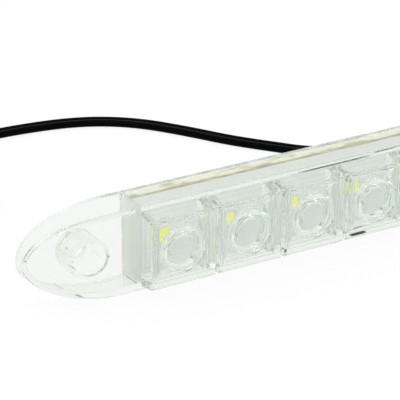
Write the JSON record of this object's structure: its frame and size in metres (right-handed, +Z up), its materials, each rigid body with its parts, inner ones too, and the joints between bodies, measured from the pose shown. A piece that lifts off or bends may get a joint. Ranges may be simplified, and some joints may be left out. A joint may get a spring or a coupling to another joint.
{
  "type": "daytime running light",
  "caption": "Clear strip daytime running light with a row of square lens cells, a pointed screw tab at each end and a flat black lead from its back.",
  "frame": {"origin": "middle of the strip's length and depth, on the surface that its long side stands on", "axes": "+X along the strip, -Y the way the light shines, +Z up across the strip's width"},
  "size_m": [0.2405, 0.1059, 0.0218],
  "materials": {
    "clear_housing": "clear moulded",
    "clear_lens": "clear polished",
    "led_package": "white package with yellow phosphor",
    "white_board": "white solder mask",
    "black_ceramic": "glazed",
    "black_case": "moulded",
    "cream_cover": "moulded",
    "black_rubber": "moulded",
    "copper": "drawn wire",
    "lead_jacket": "extruded",
    "tinned_core": "stripped, with tinned tips"
  },
  "bodies": {
    "root": {"housing": "clear_housing", "lens_1": "clear_lens", "lens_2": "clear_lens", "lens_3": "clear_lens", "lens_4": "clear_lens", "lens_5": "clear_lens", "lens_6": "clear_lens", "lens_7": "clear_lens", "lens_8": "clear_lens", "lens_9": "clear_lens", "led_1": "led_package", "led_2": "led_package", "led_3": "led_package", "led_4": "led_package", "led_5": "led_package", "led_6": "led_package", "led_7": "led_package", "led_8": "led_package", "led_9": "led_package", "circuit_board": "white_board", "resistors": "black_ceramic", "polarity_diode": "black_case", "back_cover": "cream_cover", "grommet": "black_rubber", "lead_conductors": "copper", "supply_lead": "lead_jacket", "lead_coil": "lead_jacket", "lead_tail": "lead_jacket", "lead_ends": "tinned_core"}
  },
  "joints": []
}
